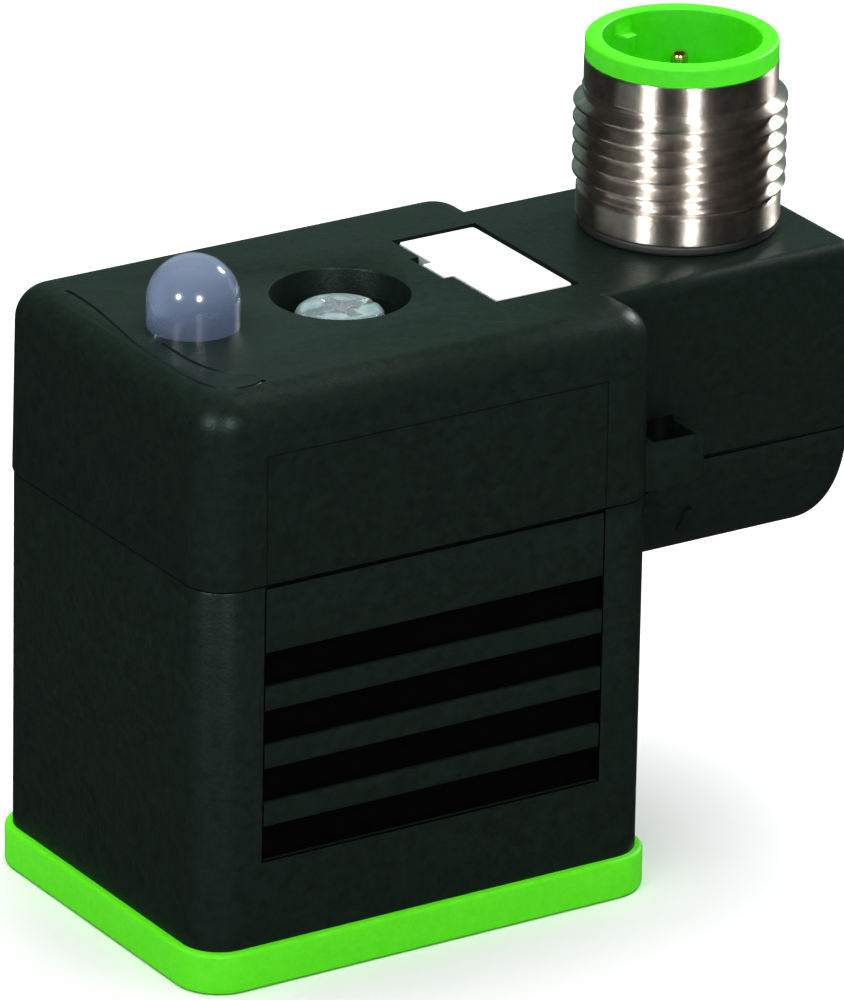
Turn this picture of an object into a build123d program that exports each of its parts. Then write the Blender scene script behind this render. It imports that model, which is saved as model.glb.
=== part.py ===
from build123d import *
import math
import os

# Right-angled plug connector for a solenoid valve coil. It stands on its sealing face.
# Origin: centre of the sealing face (gasket underside). +Z up, +X towards the M12 end,
# -Y is the ribbed front. All sizes are in millimetres and angles in degrees.

# --- Driving dimensions -------------------------------------------------------------
# Housing
body_length = 29.2            # lower moulding, along X
body_width = 22.4             # lower moulding, along Y
corner_radius = 2.3           # vertical corners of the lower moulding
wall = 1.6                    # moulded wall thickness
parting_height = 23.7         # joint line between lower housing and upper cover
top_height = 34.7             # flat top of the cover
cover_overhang = 0.1          # how far the cover stands out past the lower housing
cover_draft = 0.8             # draft of the cover's sides
top_edge_radius = 2.0         # rounding round the top of the cover
foot_lip_height = 1.5         # thickness of the inward lip at the foot of the lower housing
foot_lip_width = 1.7          # how far that lip reaches in past the wall

# Arm that carries the M12 connector
arm_length = 15.3             # from the body's end wall to the arm's end face
arm_half_width = 7.8
arm_edge_radius = 0.8         # rounding along the arm's top edges
arm_end_radius = 1.0          # rounding of the arm's end corners
wire_window_width = 6.4       # opening between body and arm for the lead wires

# Profile gasket
gasket_height = 2.4
gasket_lip = 0.45             # how far the gasket shows past the lower housing
gasket_edge_radius = 0.3

# Front and rear panels
panel_half_width = 11.0
panel_bottom = 7.3
panel_top_margin = 3.4        # from the panel's upper edge to the top of the cover
panel_line = 0.1              # width of the fine outline groove
panel_line_depth = 0.05
bar_height = 2.05
bar_pitch = 3.43
bar_count = 4
bar_depth = 0.3

# Contact carrier and contacts (industrial form B pattern)
nose_recess = 0.5             # nose face stands back from the sealing face by this much
carrier_top = 11.2
line_contact_x = -6.9
line_contact_spacing = 11.0   # between the two line contacts, along Y
earth_contact_x = 7.7
blade_width = 6.3             # flat blades of the valve coil
blade_thickness = 0.8
contact_metal = 0.4
contact_base = 3.9            # lower end of the contact leaves
contact_bridge = 10.4         # underside of the bridge that joins the two leaves
tail_width = 1.0
tail_above_board = 0.5
leaf_margin = 0.3             # how much wider than the blade a contact leaf is
blade_play = 0.1              # room for the blade between the leaves
slot_play_length = 0.6        # how much larger than the blade its slot in the nose is
slot_play_width = 0.5
chamber_margin = 0.4          # extra length of the chamber over the contact
chamber_drop = 0.3            # how far the chamber reaches below the contact
board_post = 1.6              # side of the square posts the board stands on

# Circuit board and what it carries
board_bottom = 12.4
board_thickness = 1.6
diode_x = 7.4
diode_from_wall = 3.3
diode_length = 4.4
diode_width = 3.6
diode_height = 2.3
diode_lift = 0.1              # its body stands this far off the board
diode_chamfer = 0.3
diode_lead_length = 5.4       # over both leads
diode_lead_width = 2.0
diode_lead_thickness = 0.3
resistor_x = 7.0
resistor_from_wall = 3.2
resistor_lift = 1.5           # its axis above the board
resistor_reach = 4.6          # from its middle to each bent lead
resistor_length = 6.2
resistor_diameter = 2.3
resistor_edge = 0.4
resistor_lead = 0.6
resistor_bend = 0.7

# Fixing screw, M3, shown drawn up to its upper stop
screw_x = 0.56
thread_diameter = 3.0
thread_length = 9.0
neck_diameter = 2.5
head_diameter = 5.0
head_height = 2.2
head_edge_radius = 0.6
head_below_top = 0.8          # head's top below the cover's top face at the upper stop
screw_travel = 7.0            # from the upper stop down to the floor of the well
seal_washer_height = 1.0
seal_washer_edge = 0.25
screw_tip_height = 0.3        # tip above the sealing face at the upper stop
slot_width = 0.8
recess_depth = 1.3
cross_width = 0.8
cross_length = 3.0
screw_tip_chamfer = 0.4
well_diameter = 7.8
column_diameter = 6.0         # cover's tube that guides the screw down to the carrier

# Lens, label
lens_from_end = 5.72          # from the body's end wall to the lens axis
lens_diameter = 5.2
lens_rise = 1.44              # from the cover's top to where the dome starts
lamp_diameter = 3.0
lamp_straight = 3.4           # straight part of the lamp, under its dome
lamp_foot_diameter = 3.8
lamp_foot_height = 1.0
lamp_to_lens = 0.5
lens_flange_diameter = 6.6
lens_flange_thickness = 1.0
label_x = 10.03
label_length = 5.0            # along X
label_width = 10.2            # along Y
label_thickness = 0.9
label_below_top = 0.06
label_gap = 0.28
tab_length = 0.6
tab_width = 2.3
tab_thickness = 0.5
tab_y = 0.45
pry_notch = 0.6               # extra width of the pocket beside the tab, for a small blade
trim_groove_radius = 0.12

# M12 male connector, heights counted from the cover's top
m12_from_arm_end = 7.1        # from the arm's end face to the connector's axis
seal_height = 0.6
seal_diameter = 11.3
seal_edge = 0.2
base_ring_height = 1.7
base_ring_diameter = 11.5
thread_major = 12.0
thread_pitch = 1.0
thread_depth = 0.61
thread_height = 5.9
plain_neck_height = 1.68
plain_neck_diameter = 10.9
rim_height = 1.19
rim_diameter = 10.86
rim_edge = 0.15
anchor_depth = 4.3            # how deep the sleeve is moulded into the cover
anchor_diameter = 10.4
anchor_flange_diameter = 11.6
anchor_flange_height = 1.0
anchor_cover_height = 0.8     # plastic under the anchor
sleeve_bore = 9.84
sleeve_lower_bore = 8.7
sleeve_step_depth = 8.08      # from the sleeve's mouth down to the step between its bores
socket_diameter = 8.9
socket_depth = 7.97           # from the rim down to the floor the pins stand on
key_angle = 104.0
key_width = 1.1
key_depth = 0.75
key_below_rim = 1.0
pin_diameter = 1.0
pin_tip_radius = 0.4
pin_circle = 5.0
pin_below_rim = 1.8
pin_tail_length = 2.1         # from the insert's lower end to the pin's tail

# Lead wires
wire_diameter = 1.1
wire_bend = 1.4
wire_floor_gap = 0.55         # between the lowest wire and the bottom of the arm's trough
wire_level_step = 1.8
wire_from_earth = 1.9         # from the earth contact to the nearest wire end, along X
wire_end_step = 1.7

# Latch eye on the cover, tongue on the lower housing, mould mark on the arm
eye_length = 3.4
eye_depth = 2.7
eye_height = 2.8
eye_wall = 0.4
eye_corner = 0.8
eye_slot_height = 3.1         # top of the slot above the joint line
eye_slot_recess = 0.7         # how far the slot reaches into the arm's side
eye_slot_corner = 0.8
tongue_rise = 0.9
tongue_thickness = 1.0
tongue_root = 0.6             # how far the tongue's root reaches below the joint line
mark_from_body = 4.6          # from the body's end wall to the middle of the mark
mark_below_parting = 4.6
mark_height = 1.5
mark_radius = 0.25

# Named clearances
mould_gap = 0.1               # between plastic pieces that drop into each other
running_gap = 0.05            # radial, for what slides or turns
press_gap = 0.02              # radial, for what is pushed in for good
screw_hole_gap = 0.25         # radial, round the screw's thread

# --- Sizes that follow ---------------------------------------------------------------
cavity_length = body_length - 2 * wall
cavity_width = body_width - 2 * wall
cavity_radius = max(corner_radius - wall, wall / 5)
foot_height = gasket_height + foot_lip_height
foot_opening_length = cavity_length - 2 * foot_lip_width
foot_opening_width = cavity_width - 2 * foot_lip_width
cover_length = body_length + 2 * cover_overhang
cover_width = body_width + 2 * cover_overhang
cover_ceiling = top_height - wall
panel_top = top_height - panel_top_margin
arm_end = body_length / 2 + arm_length
trough_floor = parting_height - arm_half_width + wall
board_top = board_bottom + board_thickness
lens_x = lens_from_end - body_length / 2
lens_shoulder = top_height + lens_rise
lens_foot = board_top + lamp_straight + lamp_diameter / 2 + lamp_to_lens
head_top = top_height - head_below_top
head_bottom = head_top - head_height
seal_washer_bottom = head_bottom - seal_washer_height
well_floor = seal_washer_bottom - screw_travel - mould_gap
screw_hole_diameter = thread_diameter + 2 * screw_hole_gap
m12_x = arm_end - m12_from_arm_end
anchor_bottom = top_height - anchor_depth
arm_ceiling = anchor_bottom - anchor_cover_height
base_ring_bottom = top_height + seal_height
thread_bottom = base_ring_bottom + base_ring_height
thread_top = thread_bottom + thread_height
ring_bottom = thread_top + plain_neck_height
ring_top = ring_bottom + rim_height
sleeve_step = ring_bottom - sleeve_step_depth
socket_floor = ring_top - socket_depth
insert_bottom = anchor_bottom - anchor_cover_height / 2
pin_tail = insert_bottom - pin_tail_length
pin_tip = ring_top - pin_below_rim
pin_angles = {1: key_angle + 45, 2: key_angle - 45, 3: key_angle - 135, 4: key_angle + 135}
low_wire = trough_floor + wire_floor_gap + wire_diameter / 2
high_wire = low_wire + wire_level_step
leaf_width = blade_width + leaf_margin
contact_gap = blade_thickness + blade_play
contact_depth = contact_gap + 2 * contact_metal
near_end = earth_contact_x + wire_from_earth
far_end = near_end + wire_end_step
# Each wire: the pin it starts from, the height it runs at, and where it meets the board
wire_routes = {1: (1, high_wire, near_end), 2: (4, high_wire, near_end), 3: (3, low_wire, far_end)}


def block(length, width, bottom, top, radius=0.0, x=0.0, y=0.0):
    """Upright block with rounded vertical corners, centred on (x, y)."""
    plan = RectangleRounded(length, width, radius) if radius > 0 else Rectangle(length, width)
    return Pos(x, y, bottom) * extrude(plan, amount=top - bottom)


def rod(diameter, bottom, top, x=0.0, y=0.0):
    """Upright cylinder."""
    return Pos(x, y, bottom) * extrude(Circle(diameter / 2), amount=top - bottom)


def ring(outside, inside, bottom, top, x=0.0, y=0.0):
    """Upright tube."""
    return rod(outside, bottom, top, x, y) - rod(inside, bottom - 1, top + 1, x, y)


def span_box(x_range, y_range, z_range):
    """Box between two limits on each axis."""
    size = [high - low for low, high in (x_range, y_range, z_range)]
    middle = [(low + high) / 2 for low, high in (x_range, y_range, z_range)]
    return Pos(*middle) * Box(*size)


def polar(radius, angle):
    """Point on a circle round the M12 axis."""
    turn = math.radians(angle)
    return m12_x + radius * math.cos(turn), radius * math.sin(turn)


# --- Panels ------------------------------------------------------------------------
def panel_bars():
    """The recessed bars between the grip ribs, cut into both long sides."""
    bars = []
    for side in (-1, 1):
        for i in range(bar_count):
            low = panel_bottom + i * bar_pitch + panel_line
            middle = side * body_width / 2
            bars.append(
                span_box(
                    (-panel_half_width + panel_line, panel_half_width - panel_line),
                    (middle - bar_depth, middle + bar_depth),
                    (low, low + bar_height),
                )
            )
    return bars


def outline_frame(face_y, side):
    """Fine rectangular groove round the panel, as a cutter centred on the plane y = face_y."""
    deep = (face_y - panel_line_depth, face_y + panel_line_depth)
    height = (panel_bottom, panel_top)
    half = panel_half_width
    outer = span_box((-half, half), deep, height)
    shorter = (panel_bottom + panel_line, panel_top - panel_line)
    inner = span_box((-half + panel_line, half - panel_line), (deep[0] - 1, deep[1] + 1), shorter)
    return (outer - inner) if side > 0 else mirror(outer - inner, about=Plane.XZ)


# --- Lower housing -------------------------------------------------------------------
def arm_trough_solid(radius, end):
    """Half-round lower half of the arm, about a level axis at the parting height."""
    start = body_length / 2 - wall
    bar = Pos(start, 0, parting_height) * Rot(0, 90, 0) * extrude(Circle(radius), amount=end - start)
    bar = fillet(bar.edges().filter_by(GeomType.CIRCLE).sort_by(Axis.X)[-1], arm_end_radius)
    above = span_box((start - 1, end + 1), (-2 * radius, 2 * radius), (parting_height, top_height))
    return bar - above


def mould_mark():
    """Small raised rib, round in section, that follows the arm's round front."""
    middle = body_length / 2 + mark_from_body
    low = parting_height - mark_below_parting
    hoop = Pos(middle, 0, parting_height) * Rot(0, 90, 0) * Torus(arm_half_width, mark_radius)
    reach = (middle - 2 * mark_radius, middle + 2 * mark_radius)
    return hoop & span_box(reach, (-2 * arm_half_width, 0), (low, low + mark_height))


def latch_tongue():
    """Tongue on the lower housing that stands up inside the cover's latch eye."""
    left = body_length / 2 + cover_overhang + 2 * mould_gap
    right = body_length / 2 + eye_length - eye_wall - 2 * mould_gap
    back = -arm_half_width - mould_gap
    front = back - tongue_thickness
    bottom = parting_height - tongue_root
    tongue = span_box((left, right), (front, back), (bottom, parting_height + tongue_rise))
    root = span_box((left, right), (front, wall / 2 - arm_half_width), (bottom, parting_height))
    return tongue + root


def lower_housing():
    shape = block(body_length, body_width, gasket_height, parting_height, corner_radius)
    shape += arm_trough_solid(arm_half_width, arm_end)
    shape -= block(cavity_length, cavity_width, foot_height, parting_height + 1, cavity_radius)
    shape -= block(foot_opening_length, foot_opening_width, 0, foot_height + 1, cavity_radius)
    trough = extrude(Circle(arm_half_width - wall), amount=arm_length - wall)
    shape -= Pos(body_length / 2, 0, parting_height) * Rot(0, 90, 0) * trough
    shape -= span_box(
        (body_length / 2 - wall - 1, body_length / 2 + 1),
        (-wire_window_width / 2, wire_window_width / 2),
        (trough_floor, parting_height + 1),
    )
    for cutter in panel_bars():
        shape -= cutter
    for side in (-1, 1):
        shape -= outline_frame(body_width / 2, side)
    return shape + latch_tongue() + mould_mark()


# --- Upper cover ---------------------------------------------------------------------
def cover_shell():
    """Drafted block with a rounded top, joined to the upper half of the arm."""
    plan = RectangleRounded(cover_length, cover_width, corner_radius + cover_overhang)
    shell = extrude(Pos(0, 0, parting_height) * plan, amount=top_height - parting_height, taper=cover_draft)
    shell = fillet(shell.faces().sort_by(Axis.Z)[-1].edges(), top_edge_radius)
    arm_start = body_length / 2 - 2 * top_edge_radius
    arm = span_box((arm_start, arm_end), (-arm_half_width, arm_half_width), (parting_height, top_height))
    arm = fillet(arm.edges().filter_by(Axis.Z).group_by(Axis.X)[-1], arm_end_radius)
    arm = fillet(arm.faces().sort_by(Axis.Z)[-1].edges(), arm_edge_radius)
    return shell + arm


def latch_eye():
    """Eye in the corner between body and arm. The housing's tongue stands up inside it."""
    across = (body_length / 2 - wall / 2, body_length / 2 + eye_length)
    along = (-arm_half_width - eye_depth, wall / 2 - arm_half_width)
    eye = span_box(across, along, (parting_height, parting_height + eye_height))
    eye = fillet(eye.edges().filter_by(Axis.Y).group_by(Axis.X)[-1].sort_by(Axis.Z)[0], eye_corner)
    return fillet(eye.edges().filter_by(Axis.Z).group_by(Axis.X)[-1].sort_by(Axis.Y)[0], eye_wall / 2)


def latch_eye_hole():
    """Upright slot through the eye. Above the eye it is sunk into the arm's side."""
    left = body_length / 2 + cover_overhang + mould_gap
    right = body_length / 2 + eye_length - eye_wall
    front = -arm_half_width - eye_depth + eye_wall
    top = parting_height + eye_slot_height
    slot = span_box((left, right), (front, eye_slot_recess - arm_half_width), (parting_height, top))
    slot = fillet(slot.edges().filter_by(Axis.Z).group_by(Axis.X)[-1].sort_by(Axis.Y)[-1], eye_slot_corner)
    mouth = span_box((left, right), (front, -arm_half_width), (parting_height - 1, parting_height + 1))
    return slot + mouth


def label_recess():
    """Pocket in the cover's top for the label plate, with a pry notch at its inner side."""
    bottom = top_height - label_below_top - label_thickness
    length = label_length + 2 * label_gap
    width = label_width + 2 * label_gap
    pocket = block(length, width, bottom, top_height + 1, x=label_x)
    left = label_x - label_length / 2
    half_tab = tab_width / 2 + label_gap
    across = (left - tab_length - label_gap, left)
    notch = span_box(across, (tab_y - half_tab, tab_y + half_tab + pry_notch), (bottom, top_height + 1))
    return pocket + notch


def trim_groove(points):
    """Fine groove in the cover's top. The points count from its front left corner."""
    corner = Vector(-body_length / 2, -body_width / 2, top_height)
    line = Spline(*[corner + Vector(x, y, 0) for x, y in points])
    return sweep(Plane(line @ 0, z_dir=line % 0) * Circle(trim_groove_radius), path=line)


def sleeve_envelope():
    """Outside of the M12 sleeve's anchor, which the cover is moulded round."""
    anchor = rod(anchor_diameter, anchor_bottom, top_height + 1, m12_x)
    flange = rod(anchor_flange_diameter, anchor_bottom, anchor_bottom + anchor_flange_height, m12_x)
    return anchor + flange


def upper_cover():
    shape = cover_shell() + latch_eye()
    shape -= block(cavity_length, cavity_width, parting_height - 1, cover_ceiling, cavity_radius)
    shape -= span_box(
        (body_length / 2 - wall - 1, arm_end - wall),
        (-arm_half_width + wall, arm_half_width - wall),
        (parting_height - 1, arm_ceiling),
    )
    well_tube = rod(well_diameter + 2 * wall, well_floor - wall, cover_ceiling + wall / 2, screw_x)
    column = rod(column_diameter, carrier_top + mould_gap, well_floor, screw_x)
    shape += well_tube + column
    shape -= rod(well_diameter, well_floor, top_height + 1, screw_x)
    shape -= rod(screw_hole_diameter, carrier_top - 1, top_height, screw_x)
    shape -= rod(lens_diameter + 2 * press_gap, parting_height, top_height + 1, lens_x)
    shape -= rod(lens_flange_diameter + 2 * mould_gap, parting_height, cover_ceiling, lens_x)
    shape -= label_recess()
    shape -= sleeve_envelope()
    shape -= rod(sleeve_lower_bore, arm_ceiling - 1, anchor_bottom + 1, m12_x)
    shape -= latch_eye_hole()
    shape -= trim_groove([(2.8, 9.6), (2.9, 6.0), (3.4, 4.5), (4.7, 3.1)])
    shape -= trim_groove([(2.3, 19.0), (1.8, 12.5), (1.6, 3.8), (2.1, 2.5), (3.0, 2.0), (4.8, 2.3)])
    for side in (-1, 1):
        shape -= drafted_outline(side)
    return shape


def drafted_outline(side):
    """The panel's outline groove, leant to follow the cover's drafted side."""
    foot = Pos(0, cover_width / 2, parting_height)
    frame = foot * Rot(cover_draft, 0, 0) * foot.inverse() * outline_frame(cover_width / 2, 1)
    frame &= span_box((-body_length, body_length), (0, body_width), (parting_height - 1, top_height + 1))
    return frame if side > 0 else mirror(frame, about=Plane.XZ)


# --- Gasket and contact carrier ------------------------------------------------------
def profile_gasket():
    length = body_length + 2 * gasket_lip
    width = body_width + 2 * gasket_lip
    shape = block(length, width, 0, gasket_height, corner_radius + gasket_lip)
    shape = fillet(shape.faces().sort_by(Axis.Z)[-1].edges(), gasket_edge_radius)
    return shape - block(foot_opening_length, foot_opening_width, -1, gasket_height + 1, cavity_radius)


def carrier_slot(x, y, along_x):
    """Blade slot through the nose and the contact chamber above it."""
    slot = block(blade_width + slot_play_length, blade_thickness + slot_play_width, 0, contact_base)
    length = leaf_width + chamber_margin + 2 * mould_gap
    width = contact_depth + 4 * mould_gap
    chamber = block(length, width, contact_base - chamber_drop, carrier_top + 1)
    return Pos(x, y, 0) * Rot(0, 0, 0 if along_x else 90) * (slot + chamber)


def contact_places():
    """Name, x, y and whether the blade lies along X, for the three contacts."""
    half = line_contact_spacing / 2
    return [
        ("line_contact_1", line_contact_x, half, True),
        ("line_contact_2", line_contact_x, -half, True),
        ("earth_contact", earth_contact_x, 0.0, False),
    ]


def contact_carrier():
    nose_length = foot_opening_length - 2 * mould_gap
    nose_width = foot_opening_width - 2 * mould_gap
    shape = block(nose_length, nose_width, nose_recess, foot_height, cavity_radius)
    length = cavity_length - 2 * mould_gap
    width = cavity_width - 2 * mould_gap
    shape += block(length, width, foot_height, carrier_top, cavity_radius)
    for side_x in (-1, 1):
        for side_y in (-1, 1):
            x = side_x * (length / 2 - board_post)
            y = side_y * (width / 2 - board_post)
            shape += block(board_post, board_post, carrier_top, board_bottom, x=x, y=y)
    for name, x, y, along_x in contact_places():
        shape -= carrier_slot(x, y, along_x)
    return shape - rod(screw_hole_diameter, 0, carrier_top + 1, screw_x)


def contact(x, y, along_x):
    """Fork contact: two leaves, a bridge over them and a solder tail."""
    shape = block(leaf_width, contact_depth, contact_base, contact_bridge + contact_metal)
    shape -= block(leaf_width + 1, contact_gap, contact_base - 1, contact_bridge)
    shape += block(tail_width, contact_metal, contact_bridge, board_top + tail_above_board)
    return Pos(x, y, 0) * Rot(0, 0, 0 if along_x else 90) * shape


# --- Circuit board and what it carries -----------------------------------------------
def circuit_board():
    length = cavity_length - 2 * mould_gap
    width = cavity_width - 2 * mould_gap
    shape = block(length, width, board_bottom, board_top, cavity_radius)
    shape -= rod(column_diameter + 4 * mould_gap, board_bottom - 1, board_top + 1, screw_x)
    for name, x, y, along_x in contact_places():
        hole_length = tail_width + 2 * mould_gap
        hole_width = contact_metal + 2 * mould_gap
        hole = block(hole_length, hole_width, board_bottom - 1, board_top + 1)
        shape -= Pos(x, y, 0) * Rot(0, 0, 0 if along_x else 90) * hole
    return shape


def led_lamp():
    foot = rod(lamp_foot_diameter, board_top, board_top + lamp_foot_height, lens_x)
    barrel = rod(lamp_diameter, board_top, board_top + lamp_straight, lens_x)
    dome = Pos(lens_x, 0, board_top + lamp_straight) * Sphere(lamp_diameter / 2)
    return foot + barrel + dome


def led_lens():
    """Clear light pipe with a domed top that stands out of the cover."""
    shape = rod(lens_diameter, lens_foot, lens_shoulder, lens_x)
    shape += Pos(lens_x, 0, lens_shoulder) * Sphere(lens_diameter / 2)
    shape += rod(lens_flange_diameter, cover_ceiling - lens_flange_thickness, cover_ceiling, lens_x)
    return shape


def suppressor_diode():
    y = cavity_width / 2 - diode_from_wall
    body = block(diode_length, diode_width, board_top + diode_lift, board_top + diode_height, x=diode_x, y=y)
    body = chamfer(body.faces().sort_by(Axis.Z)[-1].edges(), diode_chamfer)
    lead_top = board_top + diode_lead_thickness
    return body + block(diode_lead_length, diode_lead_width, board_top, lead_top, x=diode_x, y=y)


def series_resistor():
    """Axial resistor lying along X, with both leads bent down onto the board."""
    y = resistor_from_wall - cavity_width / 2
    height = board_top + resistor_lift
    left = resistor_x - resistor_reach
    right = resistor_x + resistor_reach
    corners = [(left, y, board_top), (left, y, height), (right, y, height), (right, y, board_top)]
    path = FilletPolyline(*corners, radius=resistor_bend)
    lead = sweep(Plane(path @ 0, z_dir=path % 0) * Circle(resistor_lead / 2), path=path)
    body = Pos(resistor_x, y, height) * Rot(0, 90, 0) * Cylinder(resistor_diameter / 2, resistor_length)
    return fillet(body.edges(), resistor_edge) + lead


# --- Fixing screw --------------------------------------------------------------------
def fixing_screw():
    head = rod(head_diameter, head_bottom, head_top, screw_x)
    head = fillet(head.edges().sort_by(Axis.Z)[-1], head_edge_radius)
    neck = rod(neck_diameter, screw_tip_height, head_bottom, screw_x)
    thread = rod(thread_diameter, screw_tip_height, screw_tip_height + thread_length, screw_x)
    thread = chamfer(thread.edges().sort_by(Axis.Z)[0], screw_tip_chamfer)
    shape = head + neck + thread
    for length, width in ((2 * head_diameter, slot_width), (cross_width, cross_length)):
        shape -= block(length, width, head_top - recess_depth, head_top + 1, x=screw_x)
    return shape


def screw_retaining_ring():
    """Sealing ring on the screw's neck, under the head. It slides in the well with the screw."""
    outside = well_diameter - 2 * running_gap
    inside = neck_diameter + 2 * running_gap
    shape = ring(outside, inside, seal_washer_bottom, head_bottom - press_gap, screw_x)
    rim = shape.edges().filter_by(GeomType.CIRCLE).sort_by(SortBy.RADIUS)[-2:]
    return fillet(rim, seal_washer_edge)


def label_plate():
    top = top_height - label_below_top
    plate = block(label_length, label_width, top - label_thickness, top, x=label_x)
    left = label_x - label_length / 2
    across = (left - tab_length, left + tab_length)
    along = (tab_y - tab_width / 2, tab_y + tab_width / 2)
    return plate + span_box(across, along, (top - tab_thickness, top))


# --- M12 connector -------------------------------------------------------------------
def threaded_sleeve():
    """Turned sleeve: anchor, base ring, M12 thread as closed ridges, and a plain neck."""
    crest = thread_pitch / 8
    flank = thread_depth * math.tan(math.radians(30))
    outer = thread_major / 2
    root = outer - thread_depth
    points = [(anchor_flange_diameter / 2, anchor_bottom)]
    points.append((anchor_flange_diameter / 2, anchor_bottom + anchor_flange_height))
    points.append((anchor_diameter / 2, anchor_bottom + anchor_flange_height))
    points.append((anchor_diameter / 2, base_ring_bottom))
    points.append((base_ring_diameter / 2, base_ring_bottom))
    points.append((base_ring_diameter / 2, thread_bottom))
    points.append((root, thread_bottom))
    ridge_count = int((thread_top - thread_bottom) / thread_pitch)
    first = thread_bottom + (thread_top - thread_bottom - ridge_count * thread_pitch) / 2
    for i in range(ridge_count):
        middle = first + (i + 0.5) * thread_pitch
        points.append((root, middle - crest / 2 - flank))
        points.append((outer, middle - crest / 2))
        points.append((outer, middle + crest / 2))
        points.append((root, middle + crest / 2 + flank))
    points.append((root, thread_top))
    points.append((plain_neck_diameter / 2, thread_top))
    points.append((plain_neck_diameter / 2, ring_bottom))
    points.append((sleeve_bore / 2, ring_bottom))
    points.append((sleeve_bore / 2, sleeve_step))
    points.append((sleeve_lower_bore / 2, sleeve_step))
    points.append((sleeve_lower_bore / 2, anchor_bottom))
    section = make_face(Plane.XZ * Polyline(*points, close=True))
    return Pos(m12_x, 0, 0) * revolve(section, axis=Axis.Z)


def m12_sealing_ring():
    shape = ring(seal_diameter, anchor_diameter, top_height, base_ring_bottom, m12_x)
    rim = shape.edges().filter_by(GeomType.CIRCLE).sort_by(SortBy.RADIUS)[-2:]
    return fillet(rim, seal_edge)


def m12_contact_carrier():
    """Insulating insert: plug below, cup above with a coloured rim, and the coding key."""
    plug = rod(sleeve_lower_bore - 2 * press_gap, insert_bottom, socket_floor, m12_x)
    cup = rod(sleeve_bore - 2 * press_gap, sleeve_step, ring_bottom, m12_x)
    rim = rod(rim_diameter, ring_bottom, ring_top, m12_x)
    rim = fillet(rim.edges().sort_by(Axis.Z)[-1], rim_edge)
    shape = plug + cup + rim
    shape -= rod(socket_diameter, socket_floor, ring_top + 1, m12_x)
    radius = socket_diameter / 2
    key_height = (socket_floor, ring_top - key_below_rim)
    key = span_box((radius - key_depth, radius + mould_gap), (-key_width / 2, key_width / 2), key_height)
    shape += Pos(m12_x, 0, 0) * Rot(0, 0, key_angle) * key
    for angle in pin_angles.values():
        x, y = polar(pin_circle / 2, angle)
        shape -= rod(pin_diameter, insert_bottom - 1, socket_floor + 1, x, y)
    return shape


def m12_pin(number):
    x, y = polar(pin_circle / 2, pin_angles[number])
    shape = rod(pin_diameter, pin_tail, pin_tip, x, y)
    return fillet(shape.edges().sort_by(Axis.Z)[-1], pin_tip_radius)


def lead_wire(number):
    """Wire from an M12 pin's tail down the arm, through the window and onto the board."""
    pin, level, end = wire_routes[number]
    x, y = polar(pin_circle / 2, pin_angles[pin])
    corners = [(x, y, pin_tail), (x, y, level), (end, y, level), (end, y, board_top)]
    path = FilletPolyline(*corners, radius=wire_bend)
    return sweep(Plane(path @ 0, z_dir=path % 0) * Circle(wire_diameter / 2), path=path)


# --- Write one file per piece --------------------------------------------------------
os.makedirs("parts", exist_ok=True)
pieces = {
    "lower_housing": lower_housing(),
    "upper_cover": upper_cover(),
    "profile_gasket": profile_gasket(),
    "contact_carrier": contact_carrier(),
    "circuit_board": circuit_board(),
    "led_lamp": led_lamp(),
    "led_lens": led_lens(),
    "suppressor_diode": suppressor_diode(),
    "series_resistor": series_resistor(),
    "fixing_screw": fixing_screw(),
    "screw_retaining_ring": screw_retaining_ring(),
    "label_plate": label_plate(),
    "m12_threaded_sleeve": threaded_sleeve(),
    "m12_sealing_ring": m12_sealing_ring(),
    "m12_contact_carrier": m12_contact_carrier(),
}
for name, x, y, along_x in contact_places():
    pieces[name] = contact(x, y, along_x)
for number in pin_angles:
    pieces[f"m12_pin_{number}"] = m12_pin(number)
for number in wire_routes:
    pieces[f"lead_wire_{number}"] = lead_wire(number)
for name, solid in pieces.items():
    export_step(solid, f"parts/{name}.step")
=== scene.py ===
import math

import bmesh
import bpy
from mathutils import Matrix, Vector


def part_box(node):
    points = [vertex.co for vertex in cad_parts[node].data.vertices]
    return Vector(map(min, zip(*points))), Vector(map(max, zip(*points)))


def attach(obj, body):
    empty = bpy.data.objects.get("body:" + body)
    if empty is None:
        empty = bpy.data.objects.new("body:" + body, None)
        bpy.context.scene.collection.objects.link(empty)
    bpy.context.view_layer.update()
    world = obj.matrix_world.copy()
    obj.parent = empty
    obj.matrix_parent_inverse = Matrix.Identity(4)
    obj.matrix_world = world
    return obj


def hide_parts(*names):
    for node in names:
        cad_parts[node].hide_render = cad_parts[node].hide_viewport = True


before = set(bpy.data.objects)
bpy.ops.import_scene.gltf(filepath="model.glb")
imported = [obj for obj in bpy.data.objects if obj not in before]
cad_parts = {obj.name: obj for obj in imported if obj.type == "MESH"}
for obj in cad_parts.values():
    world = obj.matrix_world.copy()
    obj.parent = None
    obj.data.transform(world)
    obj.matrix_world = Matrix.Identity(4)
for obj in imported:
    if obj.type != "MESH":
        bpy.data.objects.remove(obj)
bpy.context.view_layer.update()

MM = 0.001
SHARP_ANGLE = 40          # edges that turn more than this, in degrees, count as sharp
SMOOTH_ANGLE = 32         # faces that meet at less than this, in degrees, are shaded as one surface
bpy.ops.object.select_all(action="DESELECT")


# --- Colours and nodes --------------------------------------------------------------------
def srgb(code):
    """Linear RGBA of an sRGB hex colour."""
    channels = [int(code[i:i + 2], 16) / 255 for i in (1, 3, 5)]
    linear = [c / 12.92 if c <= 0.04045 else ((c + 0.055) / 1.055) ** 2.4 for c in channels]
    return (*linear, 1.0)


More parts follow.
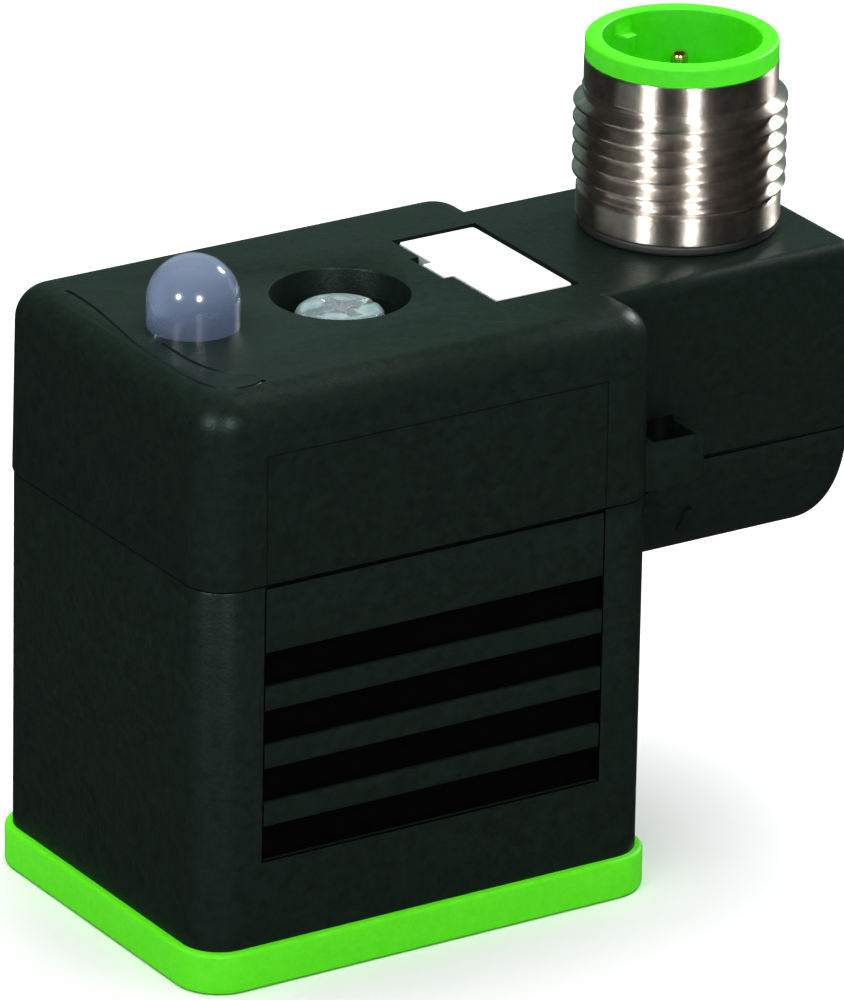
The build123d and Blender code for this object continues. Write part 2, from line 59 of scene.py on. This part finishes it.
def add(tree, kind, inputs=None, **settings):
    """Adds a node. inputs maps a socket to a value or to another node's output."""
    new = tree.nodes.new(kind)
    for name, value in settings.items():
        setattr(new, name, value)
    for name, value in (inputs or {}).items():
        if isinstance(value, bpy.types.NodeSocket):
            tree.links.new(value, new.inputs[name])
        else:
            new.inputs[name].default_value = value
    return new


def new_material(name, **sockets):
    """Principled material with plain socket values. Returns the material, its tree and its shader."""
    material = bpy.data.materials.new(name)
    material.use_nodes = True
    tree = material.node_tree
    shader = tree.nodes["Principled BSDF"]
    for key, value in sockets.items():
        shader.inputs[key.replace("_", " ")].default_value = value
    return material, tree, shader


def grain(tree, size_mm, detail=3.0, roughness=0.6):
    """Noise on Object coordinates whose features are about size_mm across."""
    place = add(tree, "ShaderNodeTexCoord").outputs["Object"]
    settings = {"Vector": place, "Scale": 1 / (size_mm * MM), "Detail": detail, "Roughness": roughness}
    return add(tree, "ShaderNodeTexNoise", settings).outputs["Fac"]


def blend_colours(tree, factor, first, second):
    """Goes from one hex colour to another over the middle third of a noise's values."""
    ramp = add(tree, "ShaderNodeValToRGB", {"Fac": factor})
    for stop, position, colour in zip(ramp.color_ramp.elements, (0.35, 0.65), (first, second)):
        stop.position = position
        stop.color = srgb(colour)
    return ramp.outputs["Color"]


def remap(tree, value, low, high):
    """Spreads a noise's values from low to high."""
    limits = {"Value": value, "To Min": low, "To Max": high}
    return add(tree, "ShaderNodeMapRange", limits).outputs["Result"]


def bump(tree, height, depth_mm):
    """Normal of a surface roughened to depth_mm."""
    inputs = {"Height": height, "Strength": 1.0, "Distance": depth_mm * MM}
    return add(tree, "ShaderNodeBump", inputs).outputs["Normal"]


# --- Materials ----------------------------------------------------------------------------
def moulded(name, dark, light, grain_mm, depth_mm, rough, **sockets):
    """Injection-moulded plastic or rubber: even surface grain, faint mottling, varied gloss."""
    material, tree, shader = new_material(name, **sockets)
    texture = grain(tree, grain_mm)
    mottle = grain(tree, grain_mm * 3, detail=5.0, roughness=0.75)
    tree.links.new(blend_colours(tree, mottle, dark, light), shader.inputs["Base Color"])
    tree.links.new(remap(tree, texture, rough - 0.08, rough + 0.08), shader.inputs["Roughness"])
    tree.links.new(bump(tree, texture, depth_mm), shader.inputs["Normal"])
    return material


def plated(name, dark, light, rough, metallic=1.0, **sockets):
    """Plated metal: slightly uneven colour and polish over a fine, shallow bath grain."""
    grain_mm, depth_mm = 0.15, 0.004
    material, tree, shader = new_material(name, Metallic=metallic, **sockets)
    uneven = grain(tree, grain_mm * 6)
    fine = grain(tree, grain_mm)
    tree.links.new(blend_colours(tree, uneven, dark, light), shader.inputs["Base Color"])
    tree.links.new(remap(tree, fine, rough * 0.7, rough * 1.3), shader.inputs["Roughness"])
    tree.links.new(bump(tree, fine, depth_mm), shader.inputs["Normal"])
    return material


def turned_nickel():
    """Nickel-plated turned brass: fine grooves round the axis draw each highlight out along it."""
    material = plated(
        "nickel_plated_brass", "#B0A89F", "#D0C8BE", 0.36, Anisotropic=1.0, Anisotropic_Rotation=0.25
    )
    tree = material.node_tree
    tangent = add(tree, "ShaderNodeTangent", direction_type="RADIAL", axis="Z").outputs["Tangent"]
    tree.links.new(tangent, tree.nodes["Principled BSDF"].inputs["Tangent"])
    return material


def milky_lens():
    """Milky clear polycarbonate light pipe: polished skin over a slightly blue, cloudy body."""
    material, tree, shader = new_material(
        "polycarbonate_milky_clear", Transmission_Weight=0.65, IOR=1.5, Coat_Weight=0.6, Coat_Roughness=0.03
    )
    haze = grain(tree, 4.0, detail=1.0)
    tree.links.new(blend_colours(tree, haze, "#9CB0D0", "#A8B8D4"), shader.inputs["Base Color"])
    tree.links.new(remap(tree, haze, 0.12, 0.18), shader.inputs["Roughness"])
    return material


MATERIALS = {
    # Black glass-fibre polyamide, spark-eroded mould: fine even grain, soft greenish gloss
    "lower_housing": moulded(
        "glass_fibre_polyamide_black", "#0F1814", "#16221C", 0.2, 0.02, 0.42,
        Specular_IOR_Level=0.12, Specular_Tint=srgb("#DAFFF3"),
    ),
    # The same plastic, painted near black and almost without shine between the ribs: painted shade for the
    # recessed bars
    "bars": moulded(
        "glass_fibre_polyamide_painted_shade", "#020302", "#040504", 0.3, 0.002, 0.4, Specular_IOR_Level=0.02
    ),
    # Moulded thermoplastic elastomer: bright lime, soft and nearly without gloss
    "profile_gasket": moulded(
        "thermoplastic_elastomer_lime", "#5CF012", "#66F81A", 0.25, 0.01, 0.5, Specular_IOR_Level=0.15
    ),
    # Moulded polyamide: dull dark grey
    "contact_carrier": moulded("polyamide_dark_grey", "#17191A", "#222526", 0.25, 0.01, 0.5),
    # Glass epoxy board under solder resist: deep green with a smooth gloss
    "circuit_board": moulded("epoxy_board_green_resist", "#0E3A1C", "#155028", 0.2, 0.004, 0.3),
    # Cast tinted epoxy: red, glossy, partly clear
    "led_lamp": moulded("epoxy_lamp_red", "#9C2414", "#B43420", 0.5, 0.002, 0.12, Transmission_Weight=0.4),
    "led_lens": milky_lens(),
    # Transfer-moulded epoxy: near black with a slight sheen
    "suppressor_diode": moulded("epoxy_component_black", "#0C0C0D", "#151516", 0.1, 0.006, 0.4),
    # Dipped lacquer: even mid blue, slightly glossy
    "series_resistor": moulded("lacquer_resistor_blue", "#2C5C86", "#39709C", 0.3, 0.006, 0.35),
    # Bright zinc with a clear passivated skin: part of its brightness is soft, without mirroring
    "fixing_screw": plated("zinc_plated_steel", "#BFD6DB", "#E9F6F8", 0.25, metallic=0.75),
    # Moulded nitrile rubber: dull black
    "screw_retaining_ring": moulded("nitrile_rubber_black", "#0B0B0B", "#131313", 0.2, 0.01, 0.6),
    # Moulded polycarbonate: clean white, satin
    "label_plate": moulded("polycarbonate_white_label", "#EDEFEC", "#F6F7F5", 0.3, 0.004, 0.45),
    "m12_threaded_sleeve": turned_nickel(),
    # Moulded polyurethane: strong green, satin
    "m12_contact_carrier": moulded(
        "polyurethane_green_insert", "#46F004", "#50F80A", 0.25, 0.008, 0.45, Specular_IOR_Level=0.25
    ),
    # Hot-dipped tin: soft grey metal
    "tin": plated("tin_plated_bronze", "#A9A9A4", "#C4C4BE", 0.32),
    # Galvanic gold: warm and bright
    "gold": plated("gold_plated_brass", "#E0A050", "#F4C078", 0.2),
    # Extruded PVC insulation: smooth satin colours
    "wire_brown": moulded("pvc_wire_brown", "#3E2214", "#4A2A1A", 0.4, 0.005, 0.4),
    "wire_blue": moulded("pvc_wire_blue", "#16307C", "#1D3A90", 0.4, 0.005, 0.4),
    "wire_green": moulded("pvc_wire_green", "#4C8A1C", "#5A9C26", 0.4, 0.005, 0.4),
}
SHARED = {
    "upper_cover": "lower_housing", "m12_sealing_ring": "screw_retaining_ring",
    "line_contact_1": "tin", "line_contact_2": "tin", "earth_contact": "tin",
    "m12_pin_1": "gold", "m12_pin_2": "gold", "m12_pin_3": "gold", "m12_pin_4": "gold",
    "lead_wire_1": "wire_brown", "lead_wire_2": "wire_blue", "lead_wire_3": "wire_green",
}


def dress(piece, node):
    """Gives a piece the material of a CAD node."""
    piece.data.materials.clear()
    piece.data.materials.append(MATERIALS[SHARED.get(node, node)])


for node_name, node_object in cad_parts.items():
    dress(node_object, node_name)


# --- Modelling helpers --------------------------------------------------------------------
def edit(piece):
    """Enters edit mode on one piece alone, with nothing selected in it."""
    bpy.ops.object.select_all(action="DESELECT")
    bpy.context.view_layer.objects.active = piece
    piece.select_set(True)
    bpy.ops.object.mode_set(mode="EDIT")
    bpy.ops.mesh.select_all(action="DESELECT")


def leave_edit(piece):
    """Leaves edit mode and puts the piece's place into its mesh."""
    bpy.ops.object.mode_set(mode="OBJECT")
    bpy.ops.object.transform_apply(location=True, rotation=True, scale=True)
    bpy.ops.object.shade_smooth_by_angle(angle=math.radians(SMOOTH_ANGLE))
    piece.select_set(False)


def pick(piece, kind, test):
    """Selects the vertices, edges or faces of a piece in edit mode that pass a test."""
    modes = {"verts": "VERT", "edges": "EDGE", "faces": "FACE"}
    bpy.ops.mesh.select_mode(type=modes[kind])
    bpy.ops.mesh.select_all(action="DESELECT")
    mesh = bmesh.from_edit_mesh(piece.data)
    for part in getattr(mesh, kind):
        if test(part):
            part.select = True
    mesh.select_flush_mode()
    bmesh.update_edit_mesh(piece.data)


def turned(name, x, y, profile, sides=128, tube=False, point=False):
    """Turned piece from (radius, height) steps in mm: a circle extruded and resized ring by ring.
    tube joins the last ring to the first, point closes the last ring in its middle."""
    radius, height = profile[0]
    bpy.ops.mesh.primitive_circle_add(vertices=sides, radius=radius * MM, location=(x, y, height * MM))
    piece = bpy.context.active_object
    piece.name = name
    edit(piece)
    bpy.ops.mesh.select_all(action="SELECT")
    if not tube:
        bpy.ops.mesh.edge_face_add()
        bpy.ops.mesh.select_mode(type="EDGE")
    for next_radius, next_height in profile[1:]:
        bpy.ops.mesh.extrude_edges_move(
            TRANSFORM_OT_translate={"value": (0, 0, (next_height - height) * MM)}
        )
        factor = next_radius / radius
        bpy.ops.transform.resize(value=(factor, factor, 1), center_override=(x, y, next_height * MM))
        radius, height = next_radius, next_height
    if point:
        bpy.ops.mesh.merge(type="CENTER")
    elif tube:
        mesh = bmesh.from_edit_mesh(piece.data)
        bpy.ops.mesh.select_all(action="DESELECT")
        for edge in mesh.edges:
            edge.select = edge.is_boundary
        bmesh.update_edit_mesh(piece.data)
        bpy.ops.mesh.bridge_edge_loops()
    else:
        bpy.ops.mesh.edge_face_add()
    bpy.ops.mesh.select_all(action="SELECT")
    bpy.ops.mesh.normals_make_consistent(inside=False)
    leave_edit(piece)
    return piece


def rows(radius, low, high, spacing):
    """Evenly spaced profile steps on one radius."""
    count = max(1, round((high - low) / spacing))
    return [(radius, low + (high - low) * i / count) for i in range(count + 1)]


def arc(middle_radius, middle_height, size, start, end, steps):
    """Profile steps along an arc, angles in degrees from level."""
    out = []
    for i in range(steps + 1):
        angle = math.radians(start + (end - start) * i / steps)
        out.append((middle_radius + size * math.cos(angle), middle_height + size * math.sin(angle)))
    return out


def cut_thread(piece, x, y, low, high, root, crest, pitch, run_out):
    """Moves a piece's rows between two heights onto a right-handed 60 degree thread, in mm.
    The crest is an eighth of the pitch wide, the root a quarter, and both ends fade over run_out."""
    half_crest, flank_run = 0.0625, 0.3125
    for vertex in piece.data.vertices:
        dx, dy, z = vertex.co.x - x, vertex.co.y - y, vertex.co.z / MM
        radius = math.hypot(dx, dy) / MM
        if not (low < z < high and abs(radius - root) < 0.01):
            continue
        phase = ((z - low) / pitch - math.atan2(dy, dx) / (2 * math.pi)) % 1.0
        flank = (abs(phase - 0.5) - half_crest) / flank_run
        ridge = 1.0 - min(max(flank, 0.0), 1.0)
        fade = min(1.0, (z - low) / run_out, (high - z) / run_out)
        wanted = root + (crest - root) * ridge * fade
        vertex.co.x = x + dx * wanted / radius
        vertex.co.y = y + dy * wanted / radius


def block(name, low, high, corner=0.0, segments=10):
    """Cube set between two corners in metres, its upright edges rounded with a bevel."""
    middle = (Vector(low) + Vector(high)) / 2
    bpy.ops.mesh.primitive_cube_add(size=1, location=middle)
    piece = bpy.context.active_object
    piece.name = name
    piece.scale = Vector(high) - Vector(low)
    bpy.ops.object.transform_apply(location=True, rotation=True, scale=True)
    edit(piece)
    if corner > 0:
        pick(piece, "edges", lambda e: abs(e.verts[0].co.z - e.verts[1].co.z) > 1e-6)
        bpy.ops.mesh.bevel(offset=corner, segments=segments, affect="EDGES", profile=0.5)
    leave_edit(piece)
    return piece


def modify(piece, kind, **settings):
    """Adds a modifier, sets it and applies it."""
    bpy.ops.object.select_all(action="DESELECT")
    bpy.context.view_layer.objects.active = piece
    piece.select_set(True)
    modifier = piece.modifiers.new(kind.lower(), kind)
    for name, value in settings.items():
        setattr(modifier, name, value)
    bpy.ops.object.modifier_apply(modifier=modifier.name)
    piece.select_set(False)


def carve(piece, cutter):
    """Takes the cutter out of the piece and deletes it."""
    modify(piece, "BOOLEAN", operation="DIFFERENCE", object=cutter, solver="EXACT")
    bpy.data.objects.remove(cutter)


def soften(piece, width_mm, segments):
    """Small rounding on every sharp edge."""
    modify(
        piece, "BEVEL", width=width_mm * MM, segments=segments, limit_method="ANGLE",
        angle_limit=math.radians(SHARP_ANGLE), harden_normals=True,
    )


def stand_for(piece, node, body):
    """The piece takes a CAD node's place, material and slot, and rides on its body."""
    dress(piece, node)
    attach(piece, body)
    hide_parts(node)


# --- Turned pieces, with their profiles in mm ---------------------------------------------
def middle_of(node):
    """Middle of a CAD node in plan."""
    low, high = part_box(node)
    return (low.x + high.x) / 2, (low.y + high.y) / 2


def heights_of(node):
    """Lowest and highest point of a CAD node in mm."""
    low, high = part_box(node)
    return low.z / MM, high.z / MM


M12_X, M12_Y = middle_of("m12_threaded_sleeve")


def make_sleeve():
    """Turned sleeve: plain neck, helical M12 x 1 thread, base ring, and an anchor ring inside the arm."""
    bore, socket, root, crest, neck = 4.35, 4.92, 5.39, 6.0, 5.45
    base_ring, waist, anchor = 5.75, 5.2, 5.8
    bottom, top = heights_of("m12_threaded_sleeve")
    base = heights_of("m12_sealing_ring")[1]
    anchor_top = bottom + 1.0
    thread_low, thread_high = base + 1.7, top - 1.68
    socket_floor = top - 8.08
    profile = [(bore, bottom), (anchor - 0.1, bottom), (anchor, bottom + 0.1), (anchor, anchor_top - 0.1)]
    profile += [(anchor - 0.1, anchor_top), (waist, anchor_top), (waist, base)]
    profile += [(base_ring - 0.15, base), (base_ring - 0.03, base + 0.06)]
    profile += rows(base_ring, base + 0.12, thread_low - 0.14, 0.1)
    profile += [(base_ring - 0.05, thread_low - 0.06), (base_ring - 0.15, thread_low - 0.02)]
    profile += rows(root, thread_low, thread_high, 0.055)
    profile += [(neck - 0.03, thread_high + 0.03)]
    profile += rows(neck, thread_high + 0.08, top - 0.1, 0.1)
    profile += [(neck - 0.04, top - 0.03), (neck - 0.12, top), (socket + 0.05, top), (socket, top - 0.05)]
    profile += [(socket, socket_floor), (bore, socket_floor)]
    piece = turned("nickel_sleeve", M12_X, M12_Y, profile, sides=160, tube=True)
    cut_thread(piece, M12_X, M12_Y, thread_low, thread_high, root, crest, pitch=1.0, run_out=0.45)
    stand_for(piece, "m12_threaded_sleeve", "housing")


def make_insert():
    """Green insert: plug, cup with a rounded rim, and the coding key inside."""
    plug, cup, rim, inside = 4.33, 4.9, 5.43, 4.45
    key_inside, half_key, key_angle = 3.72, 0.56, math.radians(104)
    bottom, top = heights_of("m12_contact_carrier")
    plug_top, rim_bottom, floor, key_top = top - 9.27, top - 1.19, top - 7.97, top - 1.0
    profile = [(plug - 0.13, bottom), (plug, bottom + 0.12), (plug, plug_top), (cup, plug_top)]
    profile += [(cup, rim_bottom), (rim - 0.07, rim_bottom)]
    profile += rows(rim, rim_bottom + 0.07, top - 0.26, 0.12)
    profile += arc(rim - 0.2, top - 0.2, 0.2, 0, 90, 6)
    profile += arc(inside + 0.15, top - 0.15, 0.15, 90, 180, 5)
    profile += [(inside, key_top + 0.02), (inside, key_top - 0.04)]
    profile += rows(inside, key_top - 0.1, floor + 0.15, 0.5)
    profile += [(inside - 0.07, floor + 0.04), (inside - 0.2, floor), (3.2, floor), (0.4, floor)]
    piece = turned("green_insert", M12_X, M12_Y, profile, sides=160)
    # The key: part of the inner wall, pushed in below the rim
    for vertex in piece.data.vertices:
        dx, dy, z = vertex.co.x - M12_X, vertex.co.y - M12_Y, vertex.co.z / MM
        radius = math.hypot(dx, dy) / MM
        off_key = (math.atan2(dy, dx) - key_angle) * radius
        if abs(radius - inside) < 0.01 and z < key_top and abs(off_key) < half_key:
            vertex.co.x = M12_X + dx * key_inside / radius
            vertex.co.y = M12_Y + dy * key_inside / radius
    stand_for(piece, "m12_contact_carrier", "housing")


def make_pins():
    """Four plain pins with rounded tips."""
    pin, tip, tip_flat = 0.5, 0.36, 0.12
    for number in range(1, 5):
        node = f"m12_pin_{number}"
        x, y = middle_of(node)
        bottom, top = heights_of(node)
        profile = [(pin - 0.08, bottom), (pin, bottom + 0.08), (pin, top - 0.5), (pin - 0.01, top - 0.4)]
        profile += arc(tip_flat, top - tip, tip, 0, 80, 7)
        piece = turned(f"gold_pin_{number}", x, y, profile, sides=40)
        stand_for(piece, node, "housing")


def make_lens():
    """Light pipe with a flange inside and a dome outside."""
    pipe, flange, cover_wall = 2.6, 3.3, 1.6
    x, y = middle_of("led_lens")
    bottom, top = heights_of("led_lens")
    dome = top - pipe
    ceiling = heights_of("upper_cover")[1] - cover_wall
    flange_bottom = ceiling - 1.0
    profile = [(pipe - 0.25, bottom), (pipe, bottom + 0.25), (pipe, flange_bottom)]
    profile += [(flange - 0.05, flange_bottom), (flange, flange_bottom + 0.05), (flange, ceiling - 0.05)]
    profile += [(flange - 0.05, ceiling), (pipe, ceiling)]
    profile += rows(pipe, ceiling + 0.1, dome, 0.6)
    profile += arc(0, dome, pipe, 4, 88, 24)
    piece = turned("lamp_lens", x, y, profile, sides=96, point=True)
    stand_for(piece, "led_lens", "housing")


def make_seals():
    """Round-edged rubber rings under the sleeve and under the screw head."""
    for node, body, bore, edge in (
        ("m12_sealing_ring", "housing", 5.2, 0.2), ("screw_retaining_ring", "screw_ring", 1.3, 0.25)
    ):
        low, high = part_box(node)
        x, y = middle_of(node)
        outside = (high.x - low.x) / 2 / MM
        bottom, top = heights_of(node)
        profile = [(bore, bottom), (outside - edge, bottom)]
        profile += arc(outside - edge, bottom + edge, edge, -80, 0, 6)
        profile += arc(outside - edge, top - edge, edge, 0, 90, 6)
        profile += [(bore, top)]
        piece = turned(f"rubber_{node}", x, y, profile, sides=96, tube=True)
        stand_for(piece, node, body)


def make_screw():
    """M3 captive screw: rounded cheese head with slot and cross, plain neck, helical thread."""
    root, crest, neck, head, crown = 1.2, 1.5, 1.25, 2.5, 0.6
    x, y = middle_of("fixing_screw")
    bottom, top = heights_of("fixing_screw")
    under_head, thread_low, thread_high = top - 2.2, bottom + 0.3, bottom + 9.0
    profile = [(root - 0.3, bottom), (root, thread_low)]
    profile += rows(root, thread_low + 0.04, thread_high, 0.05)
    profile += [(neck, thread_high + 0.1), (neck, under_head - 0.05), (head - 0.2, under_head)]
    profile += [(head - 0.02, under_head + 0.06), (head, under_head + 0.15), (head, top - crown)]
    profile += arc(head - crown, top - crown, crown, 12, 84, 7)
    profile += [(1.2, top), (0.3, top)]
    piece = turned("captive_screw", x, y, profile, sides=64)
    cut_thread(piece, x, y, thread_low, thread_high, root, crest, pitch=0.5, run_out=0.4)
    # Each recess: half sizes along X and Y, depth, and how far its floor narrows
    for name, half_x, half_y, depth, draft in (
        ("slot", 4, 0.4, 1.0, 0.9), ("cross_x", 1.55, 0.36, 1.5, 0.45), ("cross_y", 0.36, 1.55, 1.5, 0.45)
    ):
        low = (x - half_x * MM, y - half_y * MM, (top - depth) * MM)
        high = (x + half_x * MM, y + half_y * MM, (top + 1) * MM)
        cutter = block(name, low, high)
        edit(cutter)
        pick(cutter, "faces", lambda f: f.normal.z < -0.9)
        bpy.ops.transform.resize(value=(draft, draft, 1), center_override=(x, y, 0))
        leave_edit(cutter)
        carve(piece, cutter)
    stand_for(piece, "fixing_screw", "screw")


# --- Flat and moulded pieces --------------------------------------------------------------
def make_gasket():
    """Profile gasket: flat frame with rounded edges and an opening for the contact carrier's nose."""
    low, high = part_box("profile_gasket")
    piece = block("lime_gasket", low, high, corner=2.75 * MM, segments=12)
    band = Vector((3.75, 3.75, -1.0)) * MM
    carve(piece, block("opening", low + band, high - band, corner=0.7 * MM, segments=6))
    soften(piece, 0.25, segments=3)
    stand_for(piece, "profile_gasket", "housing")


def make_label():
    """White snap-in plate with a small tab on its inner side."""
    low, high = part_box("label_plate")
    tab_reach, tab_thickness = 0.6 * MM, 0.5 * MM
    tab_start, tab_end = -0.7 * MM, 1.6 * MM
    tab_bottom = high.z - tab_thickness
    piece = block("white_label", (low.x + tab_reach, low.y, low.z), high, corner=0.25 * MM, segments=4)
    edit(piece)
    for place, normal in (
        ((0, tab_start, 0), (0, 1, 0)), ((0, tab_end, 0), (0, 1, 0)), ((0, 0, tab_bottom), (0, 0, 1))
    ):
        bpy.ops.mesh.select_all(action="SELECT")
        bpy.ops.mesh.bisect(plane_co=place, plane_no=normal)
    pick(piece, "faces", lambda f: (
        f.normal.x < -0.9 and tab_start < f.calc_center_median().y < tab_end
        and f.calc_center_median().z > tab_bottom
    ))
    bpy.ops.mesh.extrude_region_move(TRANSFORM_OT_translate={"value": (-tab_reach, 0, 0)})
    leave_edit(piece)
    soften(piece, 0.08, segments=2)
    stand_for(piece, "label_plate", "label")


NEAR = 0.01 * MM                                        # how far a point may be off an edge's line
PARTING = 23.7 * MM                                     # height of the joint between housing and cover
FRONT = -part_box("lower_housing")[0].y                   # half the housing's width
BODY_END, BESIDE_BODY = 14.5 * MM, 14.9 * MM            # just inside and outside the body's end
CORNER_X, CORNER_Y, CORNER_RADIUS = 12.3 * MM, 8.9 * MM, 2.3 * MM
ARM_SIDE, ARM_END = 7.8 * MM, 29.9 * MM
BAR_LEDGES = [(7.4 + i * 3.43) * MM for i in range(4)]  # lower edges of the recessed bars
BAR_HEIGHT, BAR_HALF_LENGTH = 2.05 * MM, 11 * MM
BAR_FLOOR = 10.8 * MM                                   # just behind the bars' floors
EYE_TOP, EYE_END = PARTING + 2.8 * MM, 18.0 * MM        # latch eye, above and beyond the body
WELL_X, WELL_RADIUS = 0.56 * MM, 3.9 * MM               # screw well, in the middle of Y


def on_joint_line(point):
    """True on the outer edges along the joint between housing and cover."""
    slack = 0.1 * MM
    across, along = abs(point.y), abs(point.x)
    outside = across > FRONT - slack or point.x < -BODY_END or point.x > ARM_END - slack
    beside_arm = point.x > BODY_END and across > ARM_SIDE - slack
    on_round = math.hypot(along - CORNER_X, across - CORNER_Y) > CORNER_RADIUS - slack
    at_corner = on_round and CORNER_X < along < BESIDE_BODY and across > CORNER_Y
    return abs(point.z - PARTING) < NEAR and (outside or beside_arm or at_corner)


def on_rib(point):
    """True on the ribs' long edges, next to the recessed bars."""
    edges = [height for low in BAR_LEDGES for height in (low, low + BAR_HEIGHT)]
    at_edge = any(abs(point.z - height) < 2 * NEAR for height in edges)
    return at_edge and abs(abs(point.y) - FRONT) < NEAR and abs(point.x) < BAR_HALF_LENGTH - 0.15 * MM


def on_eye_rim(point):
    """True on the upper and outer edges of the latch eye."""
    slack = 0.05 * MM
    at_eye = point.x > BESIDE_BODY and point.y < -ARM_SIDE - 0.1 * MM
    return at_eye and (point.z > EYE_TOP - slack or point.x > EYE_END - slack)


def on_well_rim(point):
    """True on the screw well's upper edge."""
    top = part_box("upper_cover")[1].z
    from_axis = math.hypot(point.x - WELL_X, point.y)
    return abs(point.z - top) < NEAR and abs(from_axis - WELL_RADIUS) < 0.05 * MM


def refined_shell(name, node, roundings):
    """Merged copy of a moulded shell, with some of its edges rounded in mm to catch the light."""
    merge = 0.0005 * MM
    piece = bpy.data.objects.new(name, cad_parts[node].data.copy())
    bpy.context.scene.collection.objects.link(piece)
    edit(piece)
    bpy.ops.mesh.select_all(action="SELECT")
    bpy.ops.mesh.remove_doubles(threshold=merge)
    bpy.ops.mesh.customdata_custom_splitnormals_clear()
    bpy.ops.mesh.dissolve_limited(angle_limit=math.radians(0.2))
    for wanted, width_mm in roundings:
        pick(piece, "edges", lambda e: (
            len(e.link_faces) == 2 and e.calc_face_angle() > math.radians(SHARP_ANGLE)
            and wanted((e.verts[0].co + e.verts[1].co) / 2)
        ))
        bpy.ops.mesh.bevel(offset=width_mm * MM, segments=2, affect="EDGES", profile=0.5, clamp_overlap=False)
    bpy.ops.mesh.select_all(action="SELECT")
    bpy.ops.mesh.remove_doubles(threshold=merge)
    bpy.ops.mesh.dissolve_degenerate(threshold=merge)
    leave_edit(piece)
    return piece


def make_housing():
    """Lower moulding, its floors and walls between the ribs in near-black plastic: painted shade for the
    recessed bars.
    """
    piece = refined_shell("ribbed_housing", "lower_housing", [(on_joint_line, 0.2), (on_rib, 0.08)])
    stand_for(piece, "lower_housing", "housing")
    # Second slot: near-black material on the bars' floors and walls, painted shade in the recesses
    piece.data.materials.append(MATERIALS["bars"])
    for face in piece.data.polygons:
        middle = face.center
        behind_ribs = BAR_FLOOR < abs(middle.y) < FRONT - 2 * NEAR and abs(middle.x) < BAR_HALF_LENGTH
        if behind_ribs and face.normal.z < 0.5 and middle.z > BAR_LEDGES[0] - NEAR:
            face.material_index = 1


def make_cover():
    """Upper moulding with rounded well, latch eye and joint edges."""
    roundings = [(on_joint_line, 0.2), (on_eye_rim, 0.08), (on_well_rim, 0.15)]
    stand_for(refined_shell("domed_cover", "upper_cover", roundings), "upper_cover", "housing")


make_housing()
make_cover()
make_sleeve()
make_insert()
make_pins()
make_lens()
make_seals()
make_screw()
make_gasket()
make_label()


# --- Stage --------------------------------------------------------------------------------
def make_camera():
    """Long lens, seen from the front left and above."""
    azimuth, elevation, roll = map(math.radians, (-32.739, 22.417, 1.076))
    level = math.cos(elevation)
    back = Vector((math.sin(azimuth) * level, -math.cos(azimuth) * level, math.sin(elevation)))
    right = Vector((math.cos(azimuth), math.sin(azimuth), 0))
    up = back.cross(right)
    across = math.cos(roll) * right + math.sin(roll) * up
    upright = math.cos(roll) * up - math.sin(roll) * right
    distance, shift_right, shift_up, aim_height = 595.6 * MM, 5.23 * MM, 2.31 * MM, 20 * MM
    data = bpy.data.cameras.new("camera")
    data.sensor_width = 36.0
    data.lens = 386.6
    data.clip_start = 0.05
    data.clip_end = 20
    camera = bpy.data.objects.new("camera", data)
    turn = Matrix((across, upright, back)).transposed().to_4x4()
    place = back * distance + across * shift_right + upright * shift_up + Vector((0, 0, aim_height))
    camera.matrix_world = Matrix.Translation(place) @ turn
    bpy.context.scene.collection.objects.link(camera)
    bpy.context.scene.camera = camera


def softbox(name, place, size, power, colour="#FFFFFF", shape="RECTANGLE", diffuse=True, glossy=True):
    """Area light aimed at the object, in metres and watts. Without diffuse it adds only glints,
    without glossy none."""
    aim = Vector((0, 0, 20 * MM))
    data = bpy.data.lights.new(name, "AREA")
    data.shape = shape
    data.size, data.size_y = size
    data.energy = power
    data.color = srgb(colour)[:3]
    light = bpy.data.objects.new(name, data)
    light.location = place
    light.visible_diffuse = diffuse
    light.visible_glossy = glossy
    light.rotation_euler = (aim - Vector(place)).to_track_quat("-Z", "Y").to_euler()
    bpy.context.scene.collection.objects.link(light)


def make_stage():
    """White floor, large soft lights above, before and behind, and three small round lamps for glints."""
    bpy.ops.mesh.primitive_plane_add(size=12, location=(0, 0, -0.02 * MM))
    floor = bpy.context.active_object
    floor.name = "floor"
    # Matt white paper: faintly uneven, with no shine
    material, tree, shader = new_material("white_paper_floor", Roughness=0.9, Specular_IOR_Level=0.1)
    tree.links.new(blend_colours(tree, grain(tree, 40), "#F6F6F6", "#FAFAFA"), shader.inputs["Base Color"])
    floor.data.materials.append(material)
    floor.visible_glossy = False
    world = bpy.data.worlds.new("studio")
    bpy.context.scene.world = world
    world.use_nodes = True
    background = world.node_tree.nodes["Background"]
    background.inputs["Color"].default_value = srgb("#FFFFFF")
    background.inputs["Strength"].default_value = 0.04
    softbox("overhead_softbox", (0.05, 0.1, 0.9), (1.6, 1.6), 24, glossy=False)
    softbox("rear_softbox", (0.26, 0.4, 0.2), (0.6, 0.3), 0.2, colour="#CFFFF2")
    softbox("left_lamp", (-0.83, -0.28, 0.4), (0.14, 0.14), 9, shape="DISK", diffuse=False)
    softbox("near_lamp", (-0.2, -0.68, 0.33), (0.13, 0.13), 6, shape="DISK", diffuse=False)
    softbox("right_lamp", (0.72, 0.2, 0.42), (0.12, 0.12), 6, shape="DISK", diffuse=False)
    softbox("front_fill", (-0.5, -0.7, 0.3), (0.5, 0.5), 0.9, glossy=False)
    bpy.context.scene.view_settings.view_transform = "Standard"


make_camera()
make_stage()
